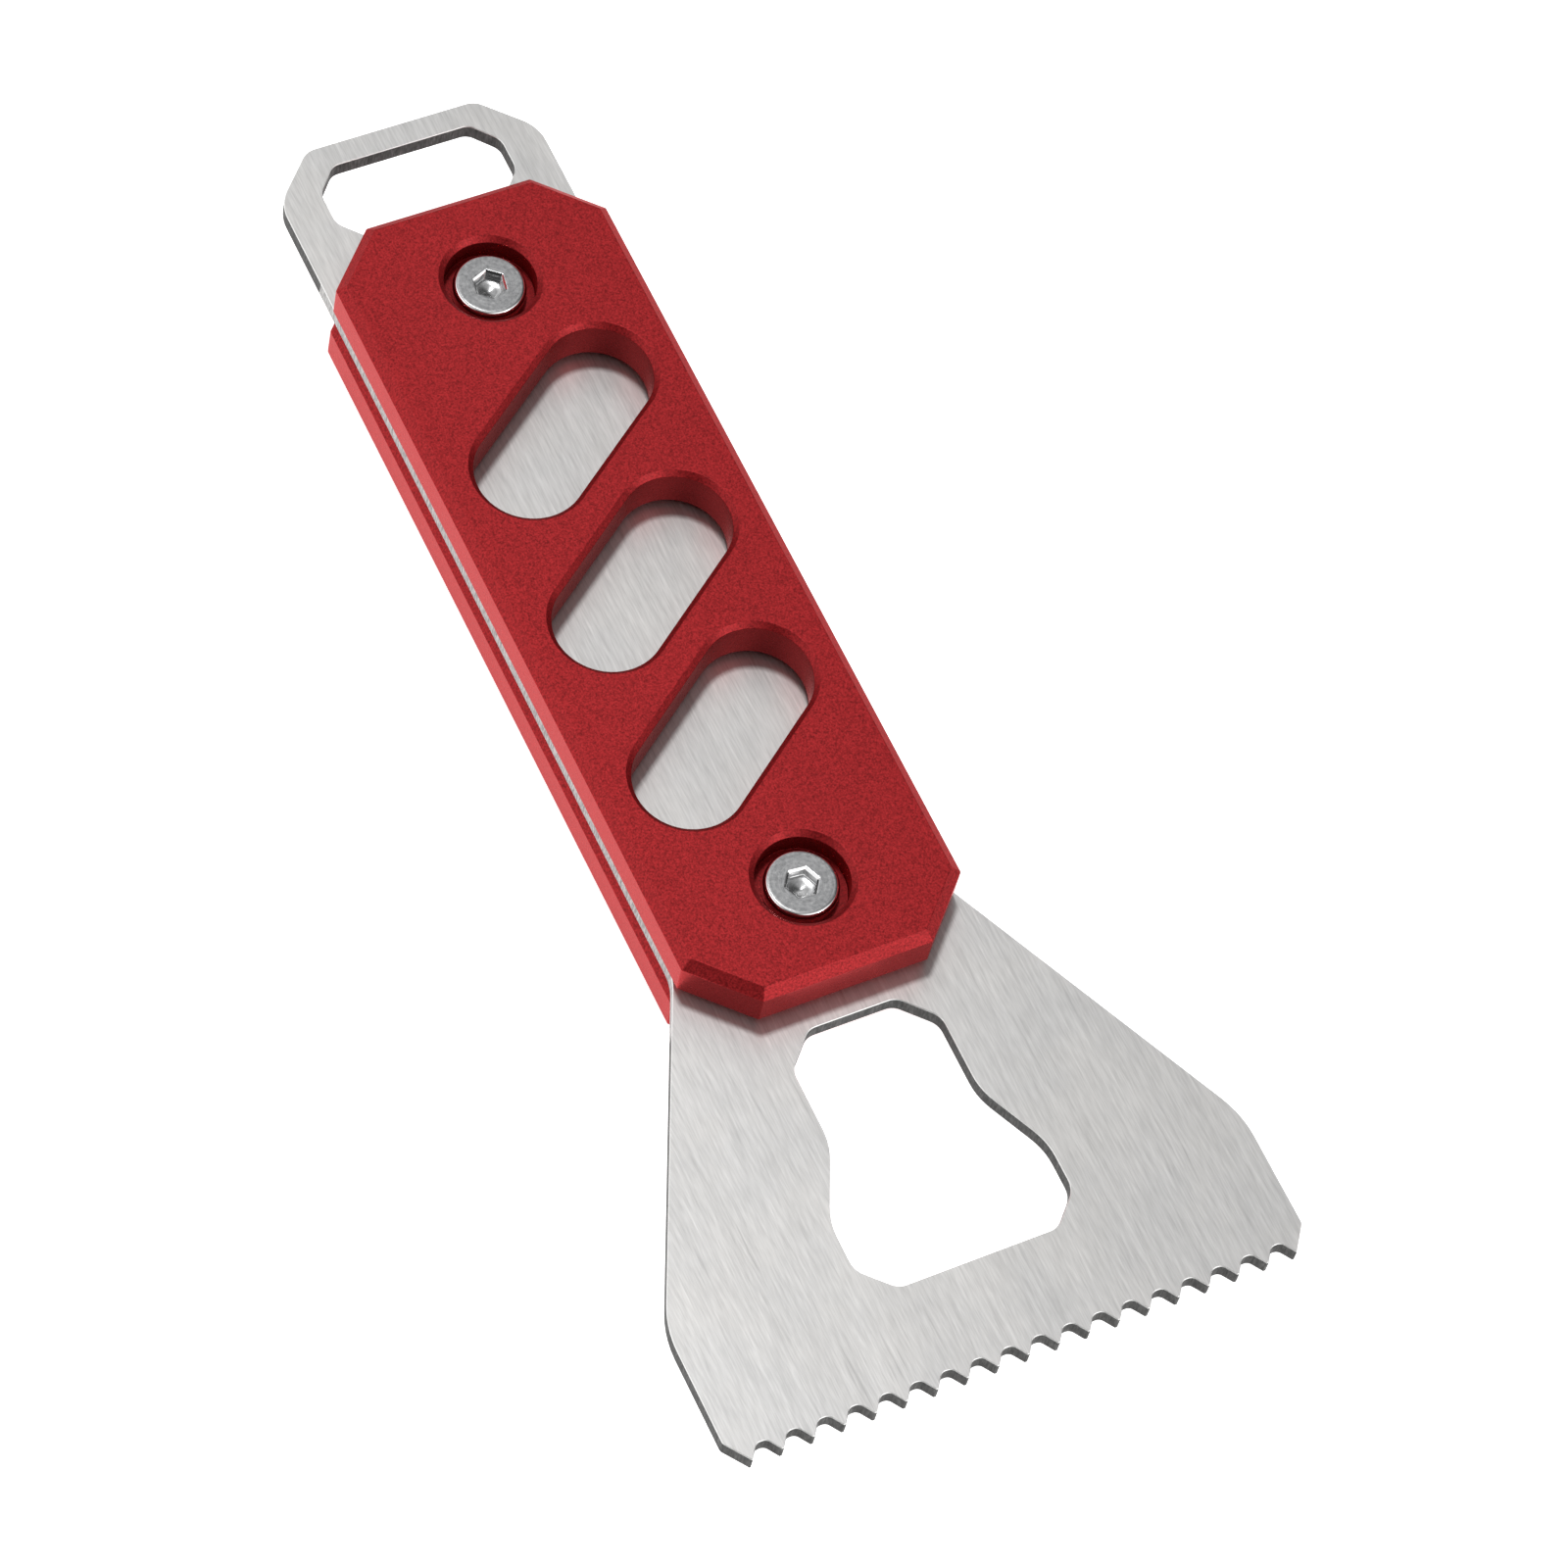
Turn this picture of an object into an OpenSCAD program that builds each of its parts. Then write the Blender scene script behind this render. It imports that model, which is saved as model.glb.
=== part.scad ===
// Painter's multi tool: a flat steel blade with a toothed scraping edge, an
// opener window and a hang loop, clamped between two handle scales by two
// hex-socket screws that thread into barrel nuts.
// X runs across the tool, +Y points to the hang loop, +Z is the front face.
// The tool lies on the rear scale; the origin is under the middle of its outline.

/* [Handle scales] */
// Length of each scale
scale_l = 102.6; // [98:0.1:110]
// Width of each scale
scale_w = 32.5; // [32.5:0.1:36]
// Thickness of each scale
scale_t = 6; // [5.5:0.1:8]
// Length cut from each corner, measured along the sides
scale_corner = 6.4; // [5:0.1:7]
// Bevel round the outer face
outer_bevel = 1.1; // [0.5:0.1:1.4]
// Bevel round the face against the blade
inner_bevel = 1.0; // [0.3:0.1:1.2]

/* [Windows in the scales] */
// Width of each slanted window
window_w = 12.2; // [8:0.1:12.8]
// Overall length of each slanted window
window_l = 27; // [20:0.1:28]
// Slant of the windows from square across
window_angle = 35.5; // [30:0.5:40]
// Distance between windows along the handle
window_pitch = 20.4; // [19:0.1:21]
// Bevel round each window at the outer face
window_rim = 0.6; // [0.2:0.1:0.8]
// Bevel round each window at the blade face
window_under = 0.8; // [0.2:0.1:1]

/* [Fasteners] */
// Distance between the two screws
screw_spacing = 80; // [78:0.5:82]
// Diameter of the screw pockets
pocket_d = 10.3; // [10:0.1:11]
// Depth of the screw pockets
pocket_depth = 3; // [2.5:0.1:3.2]
// Bevel round each pocket
pocket_rim = 0.6; // [0.2:0.1:0.8]
// Diameter of the screw and nut heads
head_d = 8.2; // [7.5:0.1:9]
// Height of the screw and nut heads
head_h = 1.9; // [1.7:0.1:2.2]
// Hex socket size across its flats
socket_af = 3; // [2.5:0.5:3]
// Depth of the hex sockets
socket_depth = 1.3; // [1:0.1:1.4]
// Diameter of the barrel of each nut
barrel_d = 5; // [4.8:0.1:5.4]
// Outside diameter of the screw thread
thread_d = 3.9; // [3.5:0.1:3.9]
// Thread pitch
thread_pitch = 0.7; // [0.5:0.1:0.8]

/* [Blade] */
// Thickness of the blade
blade_t = 2; // [1.5:0.1:3]
// Width of the tang and the hang loop
tang_w = 31.5; // [30:0.1:31.5]
// How far the hang loop stands out of the handle
loop_out = 14.9; // [13:0.1:18]
// Length cut from each corner of the hang loop
loop_corner = 5.5; // [4:0.1:6]
// Width of the hang hole
loop_hole_w = 21.9; // [18:0.1:22.5]
// Length of the hang hole
loop_hole_l = 10.2; // [8:0.1:10.2]
// Width of the blade head
head_w = 66.6; // [60:0.1:75]
// How far the blade head stands out of the handle
head_out = 44.2; // [44:0.1:52]
// Length of the straight sides next to the teeth
side_l = 13.5; // [10:0.1:15]

/* [Teeth] */
// Number of gullets along the edge
gullets = 18; // [10:1:18]
// Distance from gullet to gullet
tooth_pitch = 3.476; // [3.4:0.001:3.5]
// Depth of each gullet
gullet_depth = 1.5; // [1.2:0.1:1.8]
// Radius in the bottom corners of each gullet
gullet_r = 0.9; // [0.3:0.1:0.9]
// Width across the bottom of each gullet, between its corners
gullet_w = 1.12; // [1.1:0.02:1.2]
// Width of each tooth's tip
tip_w = 0.26; // [0.1:0.02:0.4]

/* [Opener window] */
// Width of the narrow end
opener_top_w = 17.3; // [14:0.1:18]
// Width of the wide end
opener_low_w = 25.2; // [22:0.1:28]
// Overall length
opener_l = 30.1; // [28:0.1:31]
// Steel left between the handle's end and the window
opener_gap = 2.5; // [2.5:0.1:5]

/* [Colours] */
// Colour of the handle scales
scale_colour = "#a52a2f"; // [#a52a2f, #2f4f9f, #333333]
// Colour of the blade
blade_colour = "#c9c8c5"; // [#c9c8c5, #9a9a9a]
// Colour of the screws and nuts
screw_colour = "#b4b4b6"; // [#b4b4b6, #444444]

/* [Hidden] */
$fn = 64;
overlap = 0.5;                            // how far cutting shapes pass a face
running_gap = 0.05;                       // radial running clearance
seat_gap = 0.02;                          // clearance under each head
handle_y = (head_out - loop_out) / 2;     // middle of the handle
blade_z = scale_t;                        // underside of the blade
front_z = blade_z + blade_t;              // underside of the front scale
total_t = front_z + scale_t;              // overall thickness
bore_r = barrel_d / 2 + running_gap;      // bore through scales and blade

// ---- rounded outlines: each corner is [x, y, fillet radius] ----
function unit(v) = v / norm(v);

// Points of a fillet at a corner, between the corners before and after it
function fillet(before, corner, after, radius, steps = 8) =
    let (
        back = unit(before - corner),
        ahead = unit(after - corner),
        angle = acos(back * ahead)
    )
    (radius <= 0 || angle > 179) ? [corner] :
    let (
        centre = corner + unit(back + ahead) * radius / sin(angle / 2),
        tangent_l = radius / tan(angle / 2),
        first = corner + back * tangent_l - centre,
        last = corner + ahead * tangent_l - centre,
        start = atan2(first[1], first[0]),
        sweep = (atan2(last[1], last[0]) - start + 540) % 360 - 180
    )
    [for (k = [0:steps])
        let (turn = start + sweep * k / steps)
        centre + radius * [cos(turn), sin(turn)]];

function xy(corner) = [corner[0], corner[1]];

// Outline with every corner filleted
function outline(corners) =
    let (n = len(corners))
    [for (i = [0:n - 1])
        each fillet(xy(corners[(i + n - 1) % n]), xy(corners[i]),
                    xy(corners[(i + 1) % n]), corners[i][2])];

// Closed outline from its right-hand half, listed from +Y to -Y, with an
// optional run of corners that joins the two halves at the -Y end
function both_sides(half, joining = []) =
    concat(half, joining,
           [for (i = [len(half) - 1:-1:0]) [-half[i][0], half[i][1], half[i][2]]]);

// ---- screw places, shared by the blade and the scales ----
module at_screws() {
    for (s = [-1, 1]) translate([0, s * screw_spacing / 2, 0]) children();
}

module bore(thickness) {
    translate([0, 0, -overlap]) cylinder(r = bore_r, h = thickness + 2 * overlap);
}

// ---- blade: Y is measured from the handle's middle ----
loop_rim = 2.85;                          // steel between hang hole and loop end
flare_inset = 8.15;                       // from the handle's end to the flare's start
tooth_shoulder = 2.7;                     // from the tooth tips up to the head's corners
loop_y = scale_l / 2 + loop_out;          // end of the hang loop
hole_y = loop_y - loop_rim;               // +Y end of the hang hole
flare_y = flare_inset - scale_l / 2;
opener_y = -scale_l / 2 - opener_gap;     // narrow end of the opener window
tip_y = -scale_l / 2 - head_out;          // tooth tips
shoulder_y = tip_y + tooth_shoulder;
mouth_w = tooth_pitch - tip_w;            // gullet's width between tips

// Right-hand halves, columns [x, y, fillet radius]
blade_half = [
    [tang_w / 2 - loop_corner, loop_y, 2.5],
    [tang_w / 2, loop_y - loop_corner - 0.1, 5],
    [tang_w / 2, flare_y, 6],
    [head_w / 2, shoulder_y + side_l, 12],
    [head_w / 2, shoulder_y, 0.8],
    [gullets * tooth_pitch / 2, tip_y, 0]];
hang_hole_half = [
    [loop_hole_w / 2 - 2.7, hole_y, 1.8],
    [loop_hole_w / 2, hole_y - 3, 2.2],
    [loop_hole_w / 2, hole_y - loop_hole_l + 3, 2.2],
    [loop_hole_w / 2 - 2.8, hole_y - loop_hole_l, 1.8]];
opener_half = [
    [opener_top_w / 2 - 3.6, opener_y, 2],
    [opener_top_w / 2, opener_y - 3.7, 2.4],
    [opener_top_w / 2, opener_y - 12.8, 8],
    [opener_low_w / 2, opener_y - 20.9, 8],
    [opener_low_w / 2, opener_y - opener_l + 3.45, 2.6],
    [opener_low_w / 2 - 3.45, opener_y - opener_l, 2.2]];

// Gullets from right to left: a tip, two rounded bottom corners, a tip
teeth = [for (k = [gullets - 1:-1:0])
    let (x = (k - (gullets - 1) / 2) * tooth_pitch)
    each [[x + mouth_w / 2, tip_y, 0],
          [x + gullet_w / 2, tip_y + gullet_depth, gullet_r],
          [x - gullet_w / 2, tip_y + gullet_depth, gullet_r],
          [x - mouth_w / 2, tip_y, 0]]];

module blade_opening(half) {
    translate([0, 0, -overlap]) linear_extrude(blade_t + 2 * overlap)
        polygon(outline(both_sides(half)));
}

module blade() {
    color(blade_colour)
    translate([0, handle_y, blade_z])
    difference() {
        linear_extrude(blade_t) polygon(outline(both_sides(blade_half, teeth)));
        blade_opening(hang_hole_half);
        blade_opening(opener_half);
        at_screws() bore(blade_t);
    }
}

// ---- handle scales: blade face at z = 0, outer face at z = scale_t ----
cutter = [10, 160, 10];                   // block that planes off a straight bevel

// Cuts a 45 degree bevel on the side that faces turn, reach away from the middle
module edge_cut(turn, reach, bevel, outer) {
    rotate([0, 0, turn])
    translate([reach - bevel, 0, outer ? scale_t : 0])
    rotate([0, outer ? 45 : -45, 0])
    translate([-cutter[0] / 2, -cutter[1] / 2, outer ? 0 : -cutter[2]])
        cube(cutter);
}

// Cone that bevels a round opening at the outer face
module outer_cone(radius, bevel) {
    translate([0, 0, scale_t - bevel])
        cylinder(r1 = radius, r2 = radius + bevel + overlap, h = bevel + overlap);
}

// Slanted slot with round ends, bevelled at both faces
module window() {
    radius = window_w / 2;
    end_x = window_l / 2 - radius;        // centre of each round end

    // Prism that bevels the straight sides, widening from z_narrow to z_wide
    module side_bevels(bevel, z_narrow, z_wide) {
        wide = radius + bevel + overlap;
        translate([-end_x, 0, 0]) rotate([90, 0, 90]) linear_extrude(2 * end_x)
            polygon([[-radius, z_narrow], [-wide, z_wide], [wide, z_wide], [radius, z_narrow]]);
    }

    rotate([0, 0, window_angle]) {
        for (s = [-1, 1]) translate([s * end_x, 0, 0]) {
            translate([0, 0, -overlap]) cylinder(r = radius, h = scale_t + 2 * overlap);
            outer_cone(radius, window_rim);
            translate([0, 0, -overlap])
                cylinder(r1 = radius + window_under + overlap, r2 = radius,
                         h = window_under + overlap);
        }
        translate([-end_x, -radius, -overlap])
            cube([2 * end_x, 2 * radius, scale_t + 2 * overlap]);
        side_bevels(window_rim, scale_t - window_rim, scale_t + overlap);
        side_bevels(window_under, window_under, -overlap);
    }
}

module scale_plate() {
    side = scale_w / 2;
    end = scale_l / 2;
    side_cut = side - scale_corner;       // where the cut corners meet the ends
    end_cut = end - scale_corner;         // where they meet the long sides
    corner_reach = (side + end_cut) / sqrt(2);
    difference() {
        linear_extrude(scale_t)
            polygon([[side_cut, end], [side, end_cut], [side, -end_cut], [side_cut, -end],
                     [-side_cut, -end], [-side, -end_cut], [-side, end_cut], [-side_cut, end]]);
        for (outer = [true, false]) {
            bevel = outer ? outer_bevel : inner_bevel;
            for (turn = [0, 180]) edge_cut(turn, side, bevel, outer);
            for (turn = [90, 270]) edge_cut(turn, end, bevel, outer);
            for (turn = [45:90:315]) edge_cut(turn, corner_reach, bevel, outer);
        }
        for (s = [-1, 0, 1]) translate([0, s * window_pitch, 0]) window();
        at_screws() {
            bore(scale_t);
            translate([0, 0, scale_t - pocket_depth])
                cylinder(d = pocket_d, h = pocket_depth + overlap);
            outer_cone(pocket_d / 2, pocket_rim);
        }
    }
}

module front_scale() {
    color(scale_colour) translate([0, handle_y, front_z]) scale_plate();
}

// The same plate, turned over about the long axis
module rear_scale() {
    color(scale_colour) translate([0, handle_y, blade_z]) rotate([0, 180, 0]) scale_plate();
}

// ---- fasteners: underside of the head at z = 0, head upwards ----
grip = 2 * (scale_t - pocket_depth) + blade_t;  // between the two pocket floors
foot_bevel = 0.15;                        // bevel under the head's rim
crown_w = 0.55;                           // rounded top edge of the head, across
crown_h = 0.8;                            // and down

drill_depth = 0.35;                       // cone below the hex
drill_tip_r = 0.2;
drill_inset = 0.16;                       // cone's top inside the flats
drill_overlap = 0.05;                     // cone's reach up into the hex
mouth_bevel = 0.5;                        // socket's bevel outside the flats
mouth_depth = 0.8;

shank_l = grip - 2.2;
shank_bevel = 0.35;
thread_depth = 0.3;
thread_rings = 7;                         // plain rings that stand for the thread
thread_start = 0.6;                       // from the shank's end to the first ring
crest_w = 0.05;                           // flat between neighbouring rings

barrel_l = grip - 1;
barrel_bevel = 0.3;
nut_bore_r = thread_d / 2 + running_gap;
nut_bore_bevel = 0.25;
nut_bore_stop = 0.4;                      // bore's end below the head's underside

// How far round each fastener came to rest
screw_blade_turn = -6;
screw_hang_turn = 21;
nut_blade_turn = 12;
nut_hang_turn = 40;

// Profile of a shaft's bevelled lower end, from the axis outwards
function shaft_end(radius, length, bevel) =
    [[0, -length], [radius - bevel, -length], [radius, bevel - length]];

// Profile of the head, from the shaft round to the axis
function head_profile(shaft_r) = concat(
    [[shaft_r, 0], [head_d / 2 - foot_bevel, 0], [head_d / 2, foot_bevel]],
    [for (a = [0:15:90])
        [head_d / 2 - crown_w * (1 - cos(a)), head_h - crown_h * (1 - sin(a))]],
    [[0, head_h]]);

// Hex socket with a drilled cone at the bottom and a bevelled mouth
module socket(turn) {
    bottom = head_h - socket_depth;
    mouth_r = socket_af / 2 + mouth_bevel;
    translate([0, 0, bottom]) rotate([0, 0, turn])
        cylinder(r = socket_af / sqrt(3), h = socket_depth + overlap, $fn = 6);
    translate([0, 0, bottom - drill_depth])
        cylinder(r1 = drill_tip_r, r2 = socket_af / 2 - drill_inset,
                 h = drill_depth + drill_overlap);
    translate([0, 0, head_h - mouth_depth])
        cylinder(r1 = mouth_r - mouth_depth, r2 = mouth_r + overlap, h = mouth_depth + overlap);
}

module screw(turn) {
    radius = thread_d / 2;
    difference() {
        rotate_extrude() polygon(concat(
            shaft_end(radius, shank_l, shank_bevel),
            [for (k = [0:thread_rings - 1])
                let (z = thread_start - shank_l + k * thread_pitch)
                each [[radius, z],
                      [radius - thread_depth, z + thread_pitch / 2],
                      [radius, z + thread_pitch - crest_w]]],
            head_profile(radius)));
        socket(turn);
    }
}

module nut(turn) {
    difference() {
        rotate_extrude() polygon(concat(
            shaft_end(barrel_d / 2, barrel_l, barrel_bevel),
            head_profile(barrel_d / 2)));
        translate([0, 0, -barrel_l - overlap])
            cylinder(r = nut_bore_r, h = barrel_l - nut_bore_stop + overlap);
        translate([0, 0, -barrel_l - overlap])
            cylinder(r1 = nut_bore_r + nut_bore_bevel + overlap, r2 = nut_bore_r,
                     h = nut_bore_bevel + overlap);
        socket(turn);
    }
}

// end is -1 at the blade end and 1 at the hang end
module screw_at(end, turn) {
    color(screw_colour)
    translate([0, handle_y + end * screw_spacing / 2, total_t - pocket_depth + seat_gap])
        screw(turn);
}

module nut_at(end, turn) {
    color(screw_colour)
    translate([0, handle_y + end * screw_spacing / 2, pocket_depth - seat_gap])
    rotate([0, 180, 0])
        nut(turn);
}

module screw_blade_end() { screw_at(-1, screw_blade_turn); }
module screw_hang_end() { screw_at(1, screw_hang_turn); }
module nut_blade_end() { nut_at(-1, nut_blade_turn); }
module nut_hang_end() { nut_at(1, nut_hang_turn); }

blade();
front_scale();
rear_scale();
screw_blade_end();
screw_hang_end();
nut_blade_end();
nut_hang_end();
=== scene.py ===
# A flat hand tool: a steel blade plate with a row of teeth, held between two red anodised
# handle scales by two screws and two nuts. Its length runs along Y with the teeth at the -Y
# end, its width along X, and its thickness along Z: the rear scale lies underneath, the blade
# on it and the front scale on top.
import math

import bpy
import numpy as np
from mathutils import Matrix, Vector
from mathutils.geometry import delaunay_2d_cdt


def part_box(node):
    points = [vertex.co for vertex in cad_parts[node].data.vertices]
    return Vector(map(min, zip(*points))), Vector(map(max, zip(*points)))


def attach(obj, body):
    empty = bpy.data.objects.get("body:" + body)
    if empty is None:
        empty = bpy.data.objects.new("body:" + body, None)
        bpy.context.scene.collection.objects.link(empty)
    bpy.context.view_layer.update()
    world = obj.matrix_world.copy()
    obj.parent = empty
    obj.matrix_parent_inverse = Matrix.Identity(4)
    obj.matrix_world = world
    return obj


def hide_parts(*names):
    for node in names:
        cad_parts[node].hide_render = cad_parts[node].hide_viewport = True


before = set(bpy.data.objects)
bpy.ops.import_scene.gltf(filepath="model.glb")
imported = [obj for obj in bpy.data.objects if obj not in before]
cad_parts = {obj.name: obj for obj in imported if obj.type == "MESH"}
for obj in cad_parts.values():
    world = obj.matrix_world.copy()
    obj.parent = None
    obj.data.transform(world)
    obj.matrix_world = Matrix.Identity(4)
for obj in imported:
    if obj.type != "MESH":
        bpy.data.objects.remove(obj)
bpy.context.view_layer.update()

MM = 0.001                                   # all sizes below are in millimetres
scene = bpy.context.scene

# ---------------------------------------------------------------- positions from the CAD


def box_mm(node):
    lo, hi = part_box(node)
    return np.array(lo) / MM, np.array(hi) / MM


def screw_y(end):
    lo, hi = box_mm("screw_" + end)
    return float((lo[1] + hi[1]) / 2)


blade_lo, blade_hi = box_mm("blade")
scale_lo, scale_hi = box_mm("front_scale")
SCREWS = {end: screw_y(end) for end in ("blade_end", "hang_end")}
HANDLE_Y = float((scale_lo[1] + scale_hi[1]) / 2)
Y_END, Y_TIP = float(blade_hi[1]), float(blade_lo[1])
# undersides of the blade and the front scale, and the top of the front scale
Z_BLADE, Z_FRONT, Z_TOP = float(blade_lo[2]), float(blade_hi[2]), float(scale_hi[2])
HALF_W = float(scale_hi[0])                  # of a scale
HALF_L = float(scale_hi[1] - scale_lo[1]) / 2
SCALE_T = float(scale_hi[2] - scale_lo[2])
HEAD_HALF_W = float(blade_hi[0])             # of the toothed head of the blade
BLADE_T = Z_FRONT - Z_BLADE

# ---------------------------------------------------------------- mesh tools


def link(name, data):
    obj = bpy.data.objects.new(name, data)
    scene.collection.objects.link(obj)
    return obj


class Shell:
    """Vertices with a normal each, and faces with a material slot each."""

    def __init__(self):
        self.points, self.normals, self.faces, self.slots = [], [], [], []

    def add(self, points, normals):
        start = len(self.points)
        self.points += [tuple(map(float, p)) for p in points]
        self.normals += [tuple(map(float, n)) for n in normals]
        return list(range(start, start + len(points)))

    def band(self, ring, following, slot):
        """Quads between two closed rings of equal length."""
        count = len(ring)
        for i in range(count):
            j = (i + 1) % count
            self.faces.append((ring[i], ring[j], following[j], following[i]))
            self.slots.append(slot)

    def cap(self, loops, up):
        """A flat face bounded by closed rings: the first is the outside, the rest are holes."""
        ids, flat, edges = [], [], []
        for loop in loops:
            base = len(ids)
            for k, i in enumerate(loop):
                ids.append(i)
                flat.append(Vector(self.points[i][:2]))
                edges.append((base + k, base + (k + 1) % len(loop)))
        result = delaunay_2d_cdt(flat, edges, [], 0, 1e-7)
        verts, triangles, sources = result[0], result[2], result[3]
        if not all(sources):
            raise RuntimeError("a cap's outline crosses itself")
        original = [ids[source[0]] for source in sources]
        outlines = [np.array([self.points[i][:2] for i in loop]) for loop in loops]
        for triangle in triangles:
            centre = sum((verts[k] for k in triangle), Vector((0, 0))) / len(triangle)
            crossings = 0
            for outline in outlines:
                x0, y0 = outline[:, 0], outline[:, 1]
                x1, y1 = np.roll(x0, -1), np.roll(y0, -1)
                hit = (y0 > centre.y) != (y1 > centre.y)
                x = x0[hit] + (centre.y - y0[hit]) * (x1[hit] - x0[hit]) / (y1[hit] - y0[hit])
                crossings += np.count_nonzero(x > centre.x)
            if crossings % 2:
                face = tuple(original[k] for k in triangle)
                self.faces.append(face if up else face[::-1])
                self.slots.append(0)

    def move(self, dy, dz):
        self.points = [(x, y + dy, z + dz) for x, y, z in self.points]
        return self

    def build(self, name, materials, turn_over_z=None):
        """The object in metres. With turn_over_z it is turned over about the long axis, and
        what was at z = 0 ends up at that height."""
        points, normals = np.array(self.points), np.array(self.normals)
        if turn_over_z is not None:
            points = points * [-1, 1, -1] + [0, 0, turn_over_z]
            normals = normals * [-1, 1, -1]
        mesh = bpy.data.meshes.new(name)
        mesh.from_pydata([tuple(p * MM) for p in points], [], self.faces)
        for material in materials:
            mesh.materials.append(material)
        mesh.polygons.foreach_set("material_index", self.slots)
        mesh.polygons.foreach_set("use_smooth", [True] * len(self.faces))
        mesh.update()
        mesh.validate()
        mesh.normals_split_custom_set_from_vertices(
            [tuple(n / np.linalg.norm(n)) for n in normals])
        mesh.update()
        return link(name, mesh)


def unit(vector):
    return vector / np.linalg.norm(vector)


def angle_between(a, b):
    return math.acos(max(-1, min(1, float(a @ b))))


def rounded_profile(points, radii, steps):
    """An open profile of (inset, z) points with its inner points rounded by radii, as rows of
    (inset, z, sideways normal, upward normal). Inset grows into the solid."""
    points = [np.array(p, float) for p in points]

    def normal(start, end):
        # in the (outward, z) plane, outward = -inset
        along = unit(np.array([-(end[0] - start[0]), end[1] - start[1]]))
        return np.array([along[1], -along[0]])

    rows = [(*points[0], *normal(points[0], points[1]))]
    for before, corner, after, radius in zip(points, points[1:], points[2:], radii):
        normal_in, normal_out = normal(before, corner), normal(corner, after)
        back, ahead = unit(before - corner), unit(after - corner)
        cut = min(radius / math.tan(angle_between(back, ahead) / 2),
                  0.45 * np.linalg.norm(before - corner),
                  0.45 * np.linalg.norm(after - corner))
        start, end = corner + back * cut, corner + ahead * cut
        angle_in = math.atan2(normal_in[1], normal_in[0])
        angle_out = math.atan2(normal_out[1], normal_out[0])
        swing = (angle_out - angle_in + math.pi) % (2 * math.pi) - math.pi
        for k in range(steps + 1):
            t = k / steps
            # a quadratic curve, close to an arc for a small rounding
            point = (1 - t) ** 2 * start + 2 * t * (1 - t) * corner + t * t * end
            angle = angle_in + swing * t
            rows.append((point[0], point[1], math.cos(angle), math.sin(angle)))
    rows.append((*points[-1], *normal(points[-2], points[-1])))
    return rows


def chamfered_profile(thickness, lower, upper, lip, radii, steps):
    """A wall with a chamfer, given as (inset, height), at the bottom and the top, and a flat
    lip beyond each. The two radii round the chamfers into the flats and into the wall."""
    flat_radius, wall_radius = radii
    points = [(lower[0] + lip, 0), (lower[0], 0), (0, lower[1]),
              (0, thickness - upper[1]), (upper[0], thickness), (upper[0] + lip, thickness)]
    return rounded_profile(points, [flat_radius, wall_radius, wall_radius, flat_radius], steps)


def corner_frame(corners, i):
    """Corner i of a closed ring, and the directions of its edges in and out."""
    before, corner, after = (
        np.array(corners[(i + k) % len(corners)][:2], float) for k in (-1, 0, 1))
    return corner, unit(corner - before), unit(after - corner)


def corner_steps(corners):
    """How many facets each corner's rounding takes; tight corners get wider facets."""
    steps = []
    for i, (_, _, radius) in enumerate(corners):
        _, edge_in, edge_out = corner_frame(corners, i)
        turn = math.degrees(angle_between(edge_in, edge_out))
        facet = 6.0 if radius > 0.3 else 20
        steps.append(max(2, int(math.ceil(turn / facet))))
    return steps


def ring_points(corners, inset, steps, keep_radius=False):
    """Points and normals of a closed ring round corners (x, y, radius) that keep the solid on
    their left, moved into the solid by inset."""
    points, normals = [], []
    for i, (_, _, own_radius) in enumerate(corners):
        corner, edge_in, edge_out = corner_frame(corners, i)
        left_in = np.array([-edge_in[1], edge_in[0]])
        left_out = np.array([-edge_out[1], edge_out[0]])
        side = 1 if edge_in[0] * edge_out[1] - edge_in[1] * edge_out[0] > 0 else -1
        moved = corner + inset * (left_in + left_out) / (1 + float(left_in @ left_out))
        radius = max(0.02, own_radius if keep_radius else own_radius - side * inset)
        turn = angle_between(edge_in, edge_out)
        centre = moved - edge_in * (radius * math.tan(turn / 2)) + side * left_in * radius
        # on a right turn the arc's centre is outside the solid and the offset changes sign
        start = math.atan2(-left_in[1], -left_in[0])
        for k in range(steps[i] + 1):
            angle = start + side * turn * k / steps[i]
            outward = np.array([math.cos(angle), math.sin(angle)])
            points.append(centre + side * outward * radius)
            normals.append(outward)
    return np.array(points), np.array(normals)


def round_hole(y, radius, count):
    """Clockwise ring round a hole on the long axis, with normals towards its centre."""
    angle = -(np.arange(count) * 2 * math.pi / count)
    outward = np.stack([np.cos(angle), np.sin(angle)], 1)
    return outward * radius + [0, y], -outward


def slot_hole(y, radius, half_length, degrees, count):
    """Clockwise ring round a slot: two half circles, centred half_length from the middle."""
    points, normals = [], []
    tilt = math.radians(degrees)
    along = np.array([math.cos(tilt), math.sin(tilt)])
    for side in (0, 1):
        centre = np.array([0, y]) + along * (-half_length if side else half_length)
        for k in range(count + 1):
            angle = tilt - math.pi / 2 + side * math.pi + math.pi * k / count
            outward = np.array([math.cos(angle), math.sin(angle)])
            points.append(centre + outward * radius)
            normals.append(outward)
    return np.array(points)[::-1], -np.array(normals)[::-1]


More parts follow.
